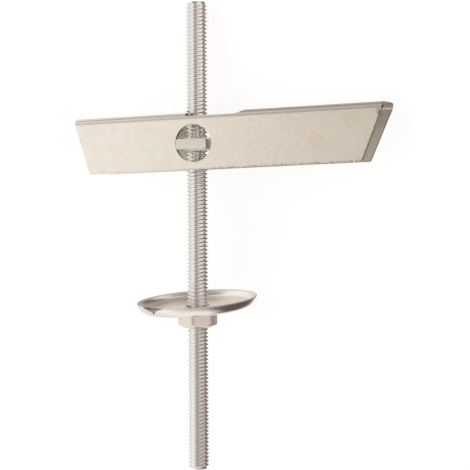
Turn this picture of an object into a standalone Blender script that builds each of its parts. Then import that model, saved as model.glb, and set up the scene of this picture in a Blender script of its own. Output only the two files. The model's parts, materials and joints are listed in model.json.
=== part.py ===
"""Gravity toggle anchor for hollow walls and ceilings, modelled in Blender 4.5.

A threaded rod screws through a flat pivot bar. The bar's ends sit in round holes through both
cheeks of a folded steel wing, which swings on them. A hex nut on the lower end of the rod carries
a dished washer, which is the face that is drawn up against the board.

The anchor is modelled upright in its own frame: the origin is on the rod's axis, half way through
the pivot bar, Z runs up the rod, X along the wing's long arm and -Y to the front cheek. An empty
then lays the whole anchor on its back, as it comes to rest on a table.
"""

import math

import bmesh
import bpy
from mathutils import Matrix, Vector

MM = 0.001

# Threaded rod, cut from M4 stock: the crests are turned a little under 4 mm
ROD_RADIUS = 1.95 * MM
ROD_ABOVE_PIVOT = 26.1 * MM
ROD_BELOW_PIVOT = 60.1 * MM
ROD_CHAMFER = 0.45 * MM
ROD_FACETS = 40
THREAD_CLEARANCE = 0.08 * MM

# Pivot bar: tapped a little off its middle, with two flat ends that sit in the cheek holes
BAR_END_WIDTH = 5.8 * MM
BAR_END_THICKNESS = 1.85 * MM
BAR_END_PROUD = 0.2 * MM
BAR_WALL_BESIDE_ROD = 1.25 * MM
BAR_MIDDLE_WIDTH = 2.0 * (ROD_RADIUS + BAR_WALL_BESIDE_ROD)
BAR_MIDDLE_THICKNESS = 2.4 * MM
BAR_SIDE_CLEARANCE = 0.9 * MM
BAR_OFF_ROD = 0.51 * MM
BAR_EDGE_ROUND = 0.4 * MM

# The wing has slid along on the bar, whose ends nearly touch the short arm's side of their holes
HOLE_FROM_ROD = 0.93 * MM
HOLE_ABOVE_BAR = 0.18 * MM
BAR_END_PLAY = 0.15 * MM
HOLE_RADIUS = BAR_END_WIDTH / 2.0 + HOLE_FROM_ROD - BAR_OFF_ROD + BAR_END_PLAY
HOLE_FACETS = 48

# Folded wing: a channel with its web on top, in its own frame with the cheek hole at the origin
SHEET = 0.9 * MM
WING_WIDTH = 9.3 * MM
BEND_RADIUS = 1.25 * MM
BEND_STEPS = 6
CHEEK_BELOW_HOLE = 1.35 * MM
CHEEK_OVER_HOLE = 0.83 * MM
HOLE_ABOVE_EDGE = CHEEK_BELOW_HOLE + HOLE_RADIUS
WING_HEIGHT = HOLE_ABOVE_EDGE + HOLE_RADIUS + CHEEK_OVER_HOLE + BEND_RADIUS
LONG_ARM = 30.65 * MM
LONG_ARM_LEAN = math.radians(24.0)
FRONT_CHEEK_LONGER = 0.55 * MM
SHORT_ARM = 20.65 * MM
SHORT_ARM_LEAN = math.radians(14.3)
EDGE_CORNER = 0.6 * MM
LONG_EDGE_CORNER = 0.3 * MM
WEB_CORNER = 0.4 * MM
WING_TURN = math.radians(2.4)

# Cut-out in the web that the rod passes through
CUTOUT_SHORT_SIDE = 1.48 * MM
CUTOUT_LONG_SIDE = 10.75 * MM
CUTOUT_DROP = 0.6 * MM
CUTOUT_CORNER = 2.8 * MM
CUTOUT_SHOULDER = 0.3 * MM
ROD_NOTCH_CLEARANCE = 0.45 * MM
ROD_NOTCH_CORNER = 0.6 * MM

# Dished washer, loose on the nut with its rim lowest in front, on the short arm's side
WASHER_RADIUS = 11.15 * MM
WASHER_HEIGHT = 2.0 * MM
WASHER_FLOOR_RADIUS = 8.0 * MM
WASHER_SHEET = 0.8 * MM
WASHER_HOLE_CLEARANCE = 0.3 * MM
WASHER_LIP_WIDTH = 0.5 * MM
WASHER_CURL_POWER = 4.0
WASHER_CURL_STEPS = 9
WASHER_FACETS = 64
WASHER_BELOW_PIVOT = 30.5 * MM
WASHER_TILT = math.radians(5.6)
WASHER_LEANS_TO = math.radians(30.0)

# Hex nut, right under the washer's lowest side
NUT_FLATS = 6.7 * MM
NUT_HEIGHT = 3.05 * MM
NUT_FACE_RADIUS = 2.5 * MM
NUT_CHAMFER = math.radians(28.0)
NUT_FACETS = 48
NUT_TURN = math.radians(2.5)
WASHER_NUT_GAP = 0.05 * MM

FULL_TURN = 2.0 * math.pi
SHARP_ANGLE = math.radians(32.0)


def clear_scene():
    """Remove every object that the file starts with."""
    for item in list(bpy.data.objects):
        bpy.data.objects.remove(item, do_unlink=True)


def metal(name, colour, roughness, metallic=1.0):
    """Return a Principled material of one colour, roughness and metallic value."""
    material = bpy.data.materials.new(name)
    material.use_nodes = True
    shader = material.node_tree.nodes["Principled BSDF"]
    shader.inputs["Base Color"].default_value = (*colour, 1.0)
    shader.inputs["Roughness"].default_value = roughness
    shader.inputs["Metallic"].default_value = metallic
    material.diffuse_color = (*colour, 1.0)
    return material


def make_object(name, mesh_data, material, parent):
    """Turn a bmesh into a named object with smooth round sides and crisp edges."""
    bmesh.ops.recalc_face_normals(mesh_data, faces=mesh_data.faces)
    mesh = bpy.data.meshes.new(name)
    mesh_data.to_mesh(mesh)
    mesh_data.free()
    mesh.shade_smooth()
    mesh.set_sharp_from_angle(angle=SHARP_ANGLE)
    mesh.materials.append(material)
    item = bpy.data.objects.new(name, mesh)
    item.parent = parent
    bpy.context.collection.objects.link(item)
    return item


def make_empty(name, parent, location=(0.0, 0.0, 0.0), rotation=(0.0, 0.0, 0.0)):
    """Return an empty that places what is parented to it."""
    empty = bpy.data.objects.new(name, None)
    empty.empty_display_size = 5.0 * MM
    empty.parent = parent
    empty.location = location
    empty.rotation_euler = rotation
    bpy.context.collection.objects.link(empty)
    return empty


def arc(centre, radius, start, end, steps):
    """Return points on an arc from the start angle to the end angle, both ends included."""
    points = []
    for step in range(steps + 1):
        angle = start + (end - start) * step / steps
        points.append(centre + radius * Vector((math.cos(angle), math.sin(angle))))
    return points


def rounded(corners, steps=5):
    """Return a closed outline whose corners, given as (x, y, radius), are rounded by arcs."""
    outline = []
    count = len(corners)
    for index, (x, y, radius) in enumerate(corners):
        corner = Vector((x, y))
        before = Vector(corners[index - 1][:2])
        after = Vector(corners[(index + 1) % count][:2])
        if radius <= 0.0:
            outline.append(corner)
            continue
        to_before = (before - corner).normalized()
        to_after = (after - corner).normalized()
        half_angle = to_before.angle(to_after) / 2.0
        middle = (to_before + to_after).normalized()
        centre = corner + middle * (radius / math.sin(half_angle))
        first = corner + to_before * (radius / math.tan(half_angle)) - centre
        last = corner + to_after * (radius / math.tan(half_angle)) - centre
        start = math.atan2(first.y, first.x)
        sweep = (math.atan2(last.y, last.x) - start + math.pi) % FULL_TURN - math.pi
        outline.extend(arc(centre, radius, start, start + sweep, steps))
    return outline


def plate(outlines, thickness):
    """Fill flat outlines, the first with the others as holes, and thicken them along +Z."""
    mesh_data = bmesh.new()
    edges = []
    for outline in outlines:
        loop = [mesh_data.verts.new((point.x, point.y, 0.0)) for point in outline]
        for index, vertex in enumerate(loop):
            edges.append(mesh_data.edges.new((loop[index - 1], vertex)))
    bmesh.ops.triangle_fill(mesh_data, edges=edges, use_beauty=True, use_dissolve=False)
    floor = list(mesh_data.faces)
    raised = bmesh.ops.extrude_face_region(mesh_data, geom=floor, use_keep_orig=True)
    top = [part for part in raised["geom"] if isinstance(part, bmesh.types.BMVert)]
    bmesh.ops.translate(mesh_data, verts=top, vec=(0.0, 0.0, thickness))
    return mesh_data


def turned(profile, facets):
    """Spin a closed profile of (radius, height) points once round the Z axis."""
    mesh_data = bmesh.new()
    loop = [mesh_data.verts.new((radius, 0.0, height)) for radius, height in profile]
    edges = []
    for index, vertex in enumerate(loop):
        edges.append(mesh_data.edges.new((loop[index - 1], vertex)))
    bmesh.ops.spin(
        mesh_data, geom=loop + edges, cent=(0.0, 0.0, 0.0), axis=(0.0, 0.0, 1.0),
        angle=FULL_TURN, steps=facets, use_merge=True)
    bmesh.ops.remove_doubles(mesh_data, verts=mesh_data.verts, dist=0.001 * MM)
    return mesh_data


def capped(rings):
    """Join equal rings of points into one closed form, with a flat cap at each end."""
    mesh_data = bmesh.new()
    loops = [[mesh_data.verts.new(point) for point in ring] for ring in rings]
    count = len(loops[0])
    for lower, upper in zip(loops, loops[1:]):
        for index in range(count):
            after = (index + 1) % count
            mesh_data.faces.new((lower[index], lower[after], upper[after], upper[index]))
    mesh_data.faces.new(reversed(loops[0]))
    mesh_data.faces.new(loops[-1])
    return mesh_data


def circle(radius, height, facets, turn=0.0):
    """Return one level ring of points round the Z axis."""
    angles = [turn + FULL_TURN * step / facets for step in range(facets)]
    return [Vector((radius * math.cos(a), radius * math.sin(a), height)) for a in angles]


def cut_through(item, cutter_data, name, operation="DIFFERENCE"):
    """Cut one object by a hidden helper that shares its parent."""
    bmesh.ops.recalc_face_normals(cutter_data, faces=cutter_data.faces)
    mesh = bpy.data.meshes.new(name)
    cutter_data.to_mesh(mesh)
    cutter_data.free()
    cutter = bpy.data.objects.new(name, mesh)
    cutter.parent = item.parent
    cutter.matrix_local = item.matrix_local
    cutter.hide_render = True
    cutter.display_type = "WIRE"
    bpy.context.collection.objects.link(cutter)
    cut = item.modifiers.new(name, "BOOLEAN")
    cut.operation = operation
    cut.object = cutter
    cut.solver = "EXACT"


def threaded_rod(frame, material):
    """Model the rod as a chamfered bar on the thread's crests."""
    end_radius = ROD_RADIUS - ROD_CHAMFER
    rings = [
        circle(end_radius, -ROD_BELOW_PIVOT, ROD_FACETS),
        circle(ROD_RADIUS, -ROD_BELOW_PIVOT + ROD_CHAMFER, ROD_FACETS),
        circle(ROD_RADIUS, ROD_ABOVE_PIVOT - ROD_CHAMFER, ROD_FACETS),
        circle(end_radius, ROD_ABOVE_PIVOT, ROD_FACETS),
    ]
    return make_object("threaded_rod", capped(rings), material, frame)


def tapped_bore(length, facets=ROD_FACETS):
    """Return a cutter for a hole that clears the rod's crests on all of its facets."""
    radius = (ROD_RADIUS + THREAD_CLEARANCE) / math.cos(math.pi / facets)
    return capped([circle(radius, -length, facets), circle(radius, length, facets)])


# The wing's blank is a flat plate: its second coordinate runs across the web and down the cheeks
BEND_MIDDLE_RADIUS = BEND_RADIUS - SHEET / 2.0
WEB_HALF = WING_WIDTH / 2.0 - BEND_RADIUS
BEND_LENGTH = BEND_MIDDLE_RADIUS * math.pi / 2.0
CHEEK_START = WEB_HALF + BEND_LENGTH
CHEEK_LENGTH = WING_HEIGHT - BEND_RADIUS
BLANK_HALF = CHEEK_START + CHEEK_LENGTH
WEB_TOP = WING_HEIGHT - HOLE_ABOVE_EDGE
HOLE_ACROSS = CHEEK_START + CHEEK_LENGTH - HOLE_ABOVE_EDGE


def blank_outline():
    """Return the wing's outline laid flat, with the long arm to +X."""
    long_top = LONG_ARM + WING_HEIGHT * math.tan(LONG_ARM_LEAN)
    short_top = -SHORT_ARM - WING_HEIGHT * math.tan(SHORT_ARM_LEAN)
    bend = WEB_HALF + BEND_LENGTH / 2.0
    return rounded([
        (LONG_ARM + FRONT_CHEEK_LONGER, -BLANK_HALF, LONG_EDGE_CORNER),
        (long_top, -bend, WEB_CORNER),
        (long_top, bend, WEB_CORNER),
        (LONG_ARM, BLANK_HALF, LONG_EDGE_CORNER),
        (-SHORT_ARM, BLANK_HALF, EDGE_CORNER),
        (short_top, bend, WEB_CORNER),
        (short_top, -bend, WEB_CORNER),
        (-SHORT_ARM, -BLANK_HALF, EDGE_CORNER),
    ])


def cutout_outline():
    """Return the web's cut-out: a rounded window with a narrower notch where the rod stands."""
    bend_angle = math.acos(1.0 - CUTOUT_DROP / BEND_RADIUS)
    half = WEB_HALF + bend_angle * BEND_MIDDLE_RADIUS
    notch = ROD_RADIUS + ROD_NOTCH_CLEARANCE
    notch_end = -HOLE_FROM_ROD - notch
    return rounded([
        (CUTOUT_LONG_SIDE, -half, CUTOUT_CORNER),
        (CUTOUT_LONG_SIDE, half, CUTOUT_CORNER),
        (-CUTOUT_SHORT_SIDE, half, CUTOUT_SHOULDER),
        (-CUTOUT_SHORT_SIDE, notch, 0.0),
        (notch_end, notch, ROD_NOTCH_CORNER),
        (notch_end, -notch, ROD_NOTCH_CORNER),
        (-CUTOUT_SHORT_SIDE, -notch, 0.0),
        (-CUTOUT_SHORT_SIDE, -half, CUTOUT_SHOULDER),
    ])


def cheek_hole(side):
    """Return the pivot hole's outline in one cheek of the blank."""
    return arc(Vector((0.0, side * HOLE_ACROSS)), HOLE_RADIUS, 0.0, FULL_TURN, HOLE_FACETS)[:-1]


def fold(point):
    """Move a point of the flat blank to its place on the folded channel.

    The height through the sheet runs from 0 on the inside to SHEET on the outside.
    """
    across = abs(point.y)
    side = math.copysign(1.0, point.y)
    radius = BEND_RADIUS - SHEET + point.z
    bend_centre_z = WEB_TOP - BEND_RADIUS
    if across <= WEB_HALF:
        return Vector((point.x, point.y, bend_centre_z + radius))
    if across < CHEEK_START:
        angle = (across - WEB_HALF) / BEND_MIDDLE_RADIUS
        y = WEB_HALF + radius * math.sin(angle)
        return Vector((point.x, side * y, bend_centre_z + radius * math.cos(angle)))
    return Vector((point.x, side * (WEB_HALF + radius), bend_centre_z - (across - CHEEK_START)))


def toggle_wing(frame, material):
    """Cut the wing's blank, score it along its bends and fold both cheeks down."""
    outlines = [blank_outline(), cutout_outline(), cheek_hole(1.0), cheek_hole(-1.0)]
    mesh_data = plate(outlines, SHEET)
    for step in range(BEND_STEPS + 1):
        across = WEB_HALF + BEND_LENGTH * step / BEND_STEPS
        for side in (-1.0, 1.0):
            everything = mesh_data.verts[:] + mesh_data.edges[:] + mesh_data.faces[:]
            bmesh.ops.bisect_plane(
                mesh_data, geom=everything, dist=0.0001 * MM,
                plane_co=(0.0, side * across, 0.0), plane_no=(0.0, 1.0, 0.0))
    for vertex in mesh_data.verts:
        vertex.co = fold(vertex.co)
    bmesh.ops.triangulate(mesh_data, faces=mesh_data.faces)
    return make_object("toggle_wing", mesh_data, material, frame)


def bar_section(width, thickness, y):
    """Return the bar's rounded section at one place along its length, off the rod's middle."""
    half_width = width / 2.0
    half_thickness = thickness / 2.0
    outline = rounded([
        (half_width, -half_thickness, BAR_EDGE_ROUND),
        (half_width, half_thickness, BAR_EDGE_ROUND),
        (-half_width, half_thickness, BAR_EDGE_ROUND),
        (-half_width, -half_thickness, BAR_EDGE_ROUND),
    ], steps=4)
    return [Vector((point.x + BAR_OFF_ROD, y, point.y)) for point in outline]


def pivot_bar(frame, material):
    """Model the bar: wide between the cheeks, narrow where its ends pass through their holes."""
    shoulder = WING_WIDTH / 2.0 - SHEET - BAR_SIDE_CLEARANCE
    end = WING_WIDTH / 2.0 + BAR_END_PROUD
    rings = [
        bar_section(BAR_END_WIDTH, BAR_END_THICKNESS, -end),
        bar_section(BAR_END_WIDTH, BAR_END_THICKNESS, -shoulder),
        bar_section(BAR_MIDDLE_WIDTH, BAR_MIDDLE_THICKNESS, -shoulder),
        bar_section(BAR_MIDDLE_WIDTH, BAR_MIDDLE_THICKNESS, shoulder),
        bar_section(BAR_END_WIDTH, BAR_END_THICKNESS, shoulder),
        bar_section(BAR_END_WIDTH, BAR_END_THICKNESS, end),
    ]
    bar = make_object("pivot_bar", capped(rings), material, frame)
    cut_through(bar, tapped_bore(BAR_MIDDLE_THICKNESS), "bar_bore")
    return bar


def cup_washer(frame, material):
    """Turn the washer: a flat floor that curls up ever more steeply to a level lip."""
    hole = ROD_RADIUS + WASHER_HOLE_CLEARANCE
    curl = WASHER_RADIUS - WASHER_FLOOR_RADIUS
    outer = []
    inner = []
    for step in range(WASHER_CURL_STEPS + 1):
        share = step / WASHER_CURL_STEPS
        rise = share ** WASHER_CURL_POWER
        outer.append((WASHER_FLOOR_RADIUS + curl * share, WASHER_HEIGHT * rise))
        inner.append((
            WASHER_FLOOR_RADIUS + (curl - WASHER_LIP_WIDTH) * share,
            WASHER_SHEET + (WASHER_HEIGHT - WASHER_SHEET) * rise))
    profile = [(hole, 0.0)] + outer + inner[::-1] + [(hole, WASHER_SHEET)]
    return make_object("cup_washer", turned(profile, WASHER_FACETS), material, frame)


def hex_nut(frame, material):
    """Model the nut: a hexagon whose corners are turned off at both faces, then tapped."""
    corner_radius = NUT_FLATS / 2.0 / math.cos(math.pi / 6.0)
    chamfer = (corner_radius - NUT_FACE_RADIUS) * math.tan(NUT_CHAMFER)
    turn = NUT_TURN - math.pi / 2.0
    prism = capped([
        circle(corner_radius, -NUT_HEIGHT, 6, turn),
        circle(corner_radius, 0.0, 6, turn),
    ])
    nut = make_object("hex_nut", prism, material, frame)
    cone = capped([
        circle(NUT_FACE_RADIUS, -NUT_HEIGHT, NUT_FACETS, turn),
        circle(corner_radius, -NUT_HEIGHT + chamfer, NUT_FACETS, turn),
        circle(corner_radius, -chamfer, NUT_FACETS, turn),
        circle(NUT_FACE_RADIUS, 0.0, NUT_FACETS, turn),
    ])
    cut_through(nut, cone, "nut_chamfers", operation="INTERSECT")
    cut_through(nut, tapped_bore(2.0 * NUT_HEIGHT), "nut_bore")
    return nut


def solid_centre(items):
    """Return the centre of mass of pieces that are all of one metal."""
    total = 0.0
    moment = Vector()
    for item in items:
        data = bmesh.new()
        data.from_mesh(item.data)
        data.transform(item.matrix_world)
        bmesh.ops.triangulate(data, faces=data.faces)
        for face in data.faces:
            a, b, c = (vertex.co for vertex in face.verts)
            volume = a.dot(b.cross(c)) / 6.0
            total += volume
            moment += (a + b + c) * (volume / 4.0)
        data.free()
    return moment / total


def lies_over(point, face):
    """Tell whether a point lies straight over a hull facet."""
    for edge in face.loops:
        start = edge.vert.co
        along = edge.link_loop_next.vert.co - start
        if along.cross(point - start).dot(face.normal) < 0.0:
            return False
    return True


def resting_matrix(items):
    """Return the turn and lift that lay the upright anchor on its back.

    It comes to rest on the facet of its convex hull that faces the back the most among those
    with the centre of mass straight over them. That facet is turned level at height zero, and
    the middle of the anchor's box is set over the origin.
    """
    points = []
    for item in items:
        points.extend(item.matrix_world @ vertex.co for vertex in item.data.vertices)
    hull = bmesh.new()
    for point in points:
        hull.verts.new(point)
    bmesh.ops.convex_hull(hull, input=hull.verts)
    bmesh.ops.recalc_face_normals(hull, faces=hull.faces)
    centre = solid_centre(items)
    stable = [face for face in hull.faces if lies_over(centre, face)]
    down = max(stable, key=lambda face: face.normal.y).normal.copy()
    hull.free()
    on_back = Matrix.Rotation(-math.pi / 2.0, 4, "X")
    level = (on_back @ down).rotation_difference(Vector((0.0, 0.0, -1.0))).to_matrix().to_4x4()
    turn = level @ on_back
    laid = [turn @ point for point in points]
    middle_x = (min(p.x for p in laid) + max(p.x for p in laid)) / 2.0
    middle_y = (min(p.y for p in laid) + max(p.y for p in laid)) / 2.0
    floor = min(p.z for p in laid)
    return Matrix.Translation((-middle_x, -middle_y, -floor)) @ turn


def main():
    """Build the pieces upright, seat them on each other and lay the anchor down."""
    clear_scene()
    bright_zinc = metal("bright_zinc", (0.66, 0.65, 0.62), 0.28)
    satin_zinc = metal("satin_zinc", (0.72, 0.69, 0.63), 0.42)
    plain_zinc = metal("plain_zinc", (0.60, 0.58, 0.53), 0.35)

    anchor = make_empty("anchor_frame", None)
    wing_pivot = make_empty(
        "wing_pivot", anchor, (HOLE_FROM_ROD, 0.0, HOLE_ABOVE_BAR), (0.0, -WING_TURN, 0.0))

    low_side = Vector((-math.sin(WASHER_LEANS_TO), -math.cos(WASHER_LEANS_TO), 0.0))
    lean_axis = Vector((0.0, 0.0, 1.0)).cross(low_side)
    lean = Matrix.Rotation(WASHER_TILT, 3, lean_axis).to_euler()
    washer_seat = make_empty("washer_seat", anchor, (0.0, 0.0, -WASHER_BELOW_PIVOT), lean)
    drop = NUT_FACE_RADIUS * math.tan(WASHER_TILT) + WASHER_NUT_GAP / math.cos(WASHER_TILT)
    nut_seat = make_empty("nut_seat", anchor, (0.0, 0.0, -WASHER_BELOW_PIVOT - drop))

    pieces = [
        threaded_rod(anchor, bright_zinc),
        pivot_bar(anchor, plain_zinc),
        toggle_wing(wing_pivot, satin_zinc),
        cup_washer(washer_seat, bright_zinc),
        hex_nut(nut_seat, plain_zinc),
    ]
    bpy.context.view_layer.update()
    anchor.matrix_world = resting_matrix(pieces)
    bpy.context.view_layer.update()


main()
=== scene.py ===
"""Looks of a gravity toggle anchor, laid out as a Blender add-on and run as a script.

Every new piece is worked out upright, with zero on the rod's axis half way through the pivot bar,
Z up the rod, X along the wing's long arm and -Y to the front cheek. It is then set down where the
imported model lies.
"""

import json
import math

import bmesh
import bpy
import numpy as np
from bpy.props import FloatProperty, FloatVectorProperty, IntProperty, PointerProperty
from mathutils import Matrix, Vector

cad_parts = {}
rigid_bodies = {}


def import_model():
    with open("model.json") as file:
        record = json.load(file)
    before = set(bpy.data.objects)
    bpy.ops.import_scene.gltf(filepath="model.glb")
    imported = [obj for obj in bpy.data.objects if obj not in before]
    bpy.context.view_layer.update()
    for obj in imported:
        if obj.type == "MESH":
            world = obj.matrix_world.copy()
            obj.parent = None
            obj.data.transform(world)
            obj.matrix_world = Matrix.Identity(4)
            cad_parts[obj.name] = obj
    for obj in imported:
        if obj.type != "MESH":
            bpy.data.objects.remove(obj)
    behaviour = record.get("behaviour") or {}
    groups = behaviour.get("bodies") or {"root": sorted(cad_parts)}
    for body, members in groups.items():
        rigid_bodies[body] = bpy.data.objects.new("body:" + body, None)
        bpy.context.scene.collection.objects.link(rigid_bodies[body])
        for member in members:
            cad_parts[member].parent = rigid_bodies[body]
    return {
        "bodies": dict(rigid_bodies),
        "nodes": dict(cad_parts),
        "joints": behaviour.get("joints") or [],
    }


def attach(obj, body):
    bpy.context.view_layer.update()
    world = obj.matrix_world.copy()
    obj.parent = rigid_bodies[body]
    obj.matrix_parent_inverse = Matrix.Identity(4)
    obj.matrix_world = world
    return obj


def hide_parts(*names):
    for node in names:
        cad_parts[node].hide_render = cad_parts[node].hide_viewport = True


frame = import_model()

bl_info = {
    "name": "Gravity Toggle Anchor",
    "version": (1, 0, 0),
    "blender": (4, 5, 0),
    "location": "3D View > Sidebar > Anchor",
    "description": "Builds the visible surfaces of a gravity toggle anchor over its packed model",
    "category": "Object",
}

MM = 0.001
FULL_TURN = 2.0 * math.pi
SMOOTH_ANGLE = math.radians(32.0)
FLAT_ANGLE = math.radians(0.5)
MERGE_DISTANCE = 0.0005 * MM
SENSOR_WIDTH = 36.0
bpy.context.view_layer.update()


# The upright frame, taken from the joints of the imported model

def unit(vector):
    """Return a vector at length one."""
    vector = np.asarray(vector, float)
    return vector / np.linalg.norm(vector)


def mesh_vectors(items, name):
    """Return one vector of each vertex or face of a mesh as one array."""
    vectors = np.empty(len(items) * 3, np.float32)
    items.foreach_get(name, vectors)
    return vectors.reshape(-1, 3).astype(float)


def node_points(node):
    """Return a CAD node's vertices as one array."""
    return mesh_vectors(frame["nodes"][node].data.vertices, "co")


JOINTS = {joint["name"]: joint for joint in frame["joints"]}
UP = unit(JOINTS["toggle_travel"]["axis"])
ACROSS = unit(np.cross(-np.array(JOINTS["wing_swing"]["axis"]), UP))
BACK = np.cross(UP, ACROSS)
AXES = np.array([ACROSS, BACK, UP])
ROD_POINT = np.array(JOINTS["nut_turn"]["pos_m"])
BAR_HEIGHTS = (node_points("pivot_bar") - ROD_POINT) @ UP
ORIGIN = ROD_POINT + UP * (BAR_HEIGHTS.min() + BAR_HEIGHTS.max()) / 2.0
TURN_UPRIGHT = Matrix(AXES.tolist())


def to_upright(points):
    """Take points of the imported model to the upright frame."""
    return (np.asarray(points) - ORIGIN) @ AXES.T


def to_row(points):
    """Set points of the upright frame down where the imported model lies."""
    return np.asarray(points) @ AXES + ORIGIN


# Sizes and colours that a user would change

def length(name, description, default):
    """Return a length setting in metres."""
    return FloatProperty(name=name, description=description, default=default, min=0.0,
                         precision=5, subtype="DISTANCE", unit="LENGTH")


def angle(name, description, degrees):
    """Return an angle setting, whose default is given in degrees."""
    return FloatProperty(name=name, description=description, default=math.radians(degrees),
                         subtype="ANGLE", unit="ROTATION")


def share(name, description, default, top=1.0):
    """Return a setting that is a plain number from zero to the given top."""
    return FloatProperty(name=name, description=description, default=default, min=0.0, max=top)


def colour(name, description, default):
    """Return a colour setting in linear values."""
    return FloatVectorProperty(name=name, description=description, default=default, size=3,
                               min=0.0, max=1.0, subtype="COLOR")


def count(name, description, default):
    """Return a setting that is a whole number of three or more."""
    return IntProperty(name=name, description=description, default=default, min=3)


class AnchorRodSettings(bpy.types.PropertyGroup):
    """Sizes and finish of the threaded rod."""

    pitch: length("Pitch", "Rise of the thread in one turn", 0.7 * MM)
    depth: length("Thread depth", "From the crest to the root", 0.41 * MM)
    crest_width: share("Crest width", "Flat crest as a share of the pitch", 0.16)
    root_width: share("Root width", "Flat root as a share of the pitch", 0.20)
    edge_cut: share("Edge cut", "Half of each rounded edge as a share of the pitch", 0.017)
    turn_steps: count("Steps per turn", "Points round one turn of the thread", 48)
    tint: colour("Colour", "Bright zinc on the rolled thread", (0.96, 0.96, 0.945))
    mottle: share("Mottle", "How far the colour varies", 0.012)
    roughness: share("Roughness", "Roughness of the thread", 0.17)


class AnchorWingSettings(bpy.types.PropertyGroup):
    """Sizes and finish of the folded wing."""

    edge_round: length("Edge round", "Rounding of the sheared edges", 0.10 * MM)
    turn: angle("Turn", "How far the long arm points above level", 2.4)
    bend_radius: length("Bend radius", "Outer radius of both bends", 1.25 * MM)
    long_lean: angle("Long arm's lean", "How far the long arm's cut leans from upright", 24.0)
    grain: colour("Grain", "Fine dark grain on the long arm", (0.86, 0.79, 0.71))
    tint: colour("Colour", "Satin zinc on rolled sheet", (0.985, 0.92, 0.85))
    # The two inside colours are painted light: a painted reflection low in the channel and painted
    # shade higher up.
    inside_painted_reflection: colour("Inside, low", "Zinc inside the channel, low down", (0.98, 0.98, 0.91))
    inside_painted_shade: colour("Inside, high", "Duller zinc high in the channel", (0.55, 0.54, 0.45))
    raw_light: colour("Raw edge, light", "Sheared steel", (0.36, 0.29, 0.25))
    # The dark raw-edge colour is partly rust on the sheared steel and partly painted shade on the
    # thin edges.
    raw_edge_and_shade: colour("Raw edge, dark", "Rust and dirt on the sheared steel", (0.12, 0.075, 0.06))
    stain: colour("Stain", "Dirt near the long arm's upper corner", (0.34, 0.20, 0.16))
    mottle: share("Mottle", "How far the colour varies", 0.014)
    roughness: share("Roughness", "Roughness of the sheet", 0.22)
    line_depth: length("Line depth", "Depth of the lines along the sheet", 0.01 * MM)


class AnchorBarSettings(bpy.types.PropertyGroup):
    """Sizes and finish of the pivot bar."""

    edge_round: length("Edge round", "Rounding of the bar's ends", 0.12 * MM)
    tint: colour("Colour", "Plain zinc on the cut bar", (1.00, 0.94, 0.89))
    mottle: share("Mottle", "How far the colour varies", 0.03)
    roughness: share("Roughness", "Roughness of the bar", 0.38)


class AnchorWasherSettings(bpy.types.PropertyGroup):
    """Sizes and finish of the dished washer."""

    floor_radius: length("Floor radius", "Flat middle, where the wall begins to curl up", 8.0 * MM)
    sheet: length("Sheet", "Thickness of the pressed sheet", 0.8 * MM)
    lip_width: length("Lip width", "Level edge on top of the wall", 0.28 * MM)
    curl_power: share("Curl", "Power of the curve from the floor to the lip", 4.0, 9.0)
    edge_round: length("Edge round", "Rounding of the lip and of the hole's edge", 0.125 * MM)
    facets: count("Facets", "Points round the washer", 192)
    nick_angle: angle("Nick angle", "Place of the nick, left of the front", 28.5)
    nick_width: length("Nick width", "Half of the nick along the lip", 2.7 * MM)
    nick_height: length("Nick height", "How far the nick runs down from the lip", 1.10 * MM)
    nick_depth: length("Nick depth", "How far the nick is cut in", 0.22 * MM)
    nick_dark: colour("Nick, dark", "Dirt in the nick", (0.10, 0.06, 0.05))
    nick_light: colour("Nick, light", "Bare metal in the nick", (0.58, 0.47, 0.43))
    # The lip colour below is a painted highlight, lighter than the zinc on the top of the lip.
    lip_painted_highlight: colour("Worn lip", "Zinc that handling has dulled on the lip", (1.00, 0.96, 0.94))
    hole_shift: length("Hole shift", "How far the hole lies back from the rod", 0.20 * MM)
    tint: colour("Colour", "Bright zinc on pressed sheet", (0.97, 0.915, 0.865))
    mottle: share("Mottle", "How far the colour varies", 0.02)
    roughness: share("Roughness", "Roughness of the washer", 0.22)
    line_depth: length("Line depth", "Depth of the rings round the washer", 0.045 * MM)


class AnchorNutSettings(bpy.types.PropertyGroup):
    """Sizes and finish of the hex nut."""

    face_radius: length("Face radius", "Flat ring left by the turned corners", 2.5 * MM)
    edge_round: length("Edge round", "Rounding of the turned corners", 0.07 * MM)
    mouth: length("Mouth", "Chamfer at both ends of the hole", 0.25 * MM)
    chamfer: angle("Chamfer", "Slope of the turned corners", 28.0)
    corner_radius: length("Corner radius", "Turned radius that takes the six corners off", 3.62 * MM)
    corner_sharpness: share("Corner sharpness", "Power that joins the flats", 70.0, 400.0)
    facets: count("Facets", "Points round the nut", 240)
    tint: colour("Colour", "Plain zinc on the nut", (0.95, 0.88, 0.815))
    mottle: share("Mottle", "How far the colour varies", 0.025)
    roughness: share("Roughness", "Roughness of the nut", 0.25)
    line_depth: length("Line depth", "Depth of the lines down the flats", 0.02 * MM)


class AnchorStudioSettings(bpy.types.PropertyGroup):
    """Camera, light and floor."""

    azimuth: angle("Azimuth", "Camera angle, right of the wing's face", 18.5)
    elevation: angle("Elevation", "Camera angle above level", 2.38)
    roll: angle("Roll", "Camera roll", -0.20)
    distance: length("Distance", "From the camera to the point it aims at", 281.69 * MM)
    aim_across: length("Aim across", "Aimed point, along the long arm", 7.32 * MM)
    aim_below: length("Aim below", "Aimed point, below the pivot bar", 16.64 * MM)
    lens: share("Lens", "Focal length in millimetres on a 36 mm sensor", 117.7, 1000.0)


SETTINGS = {
    "anchor_rod": AnchorRodSettings,
    "anchor_wing": AnchorWingSettings,
    "anchor_bar": AnchorBarSettings,
    "anchor_washer": AnchorWasherSettings,
    "anchor_nut": AnchorNutSettings,
    "anchor_studio": AnchorStudioSettings,
}


# Meshes

def make_piece(name, points, faces, material, body, node):
    """Make one closed piece from upright points and faces, and hang it on the frame."""
    mesh = bpy.data.meshes.new(name)
    mesh.from_pydata(to_row(points), [], faces)
    return finish_piece(name, mesh, material, body, node)


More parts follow.
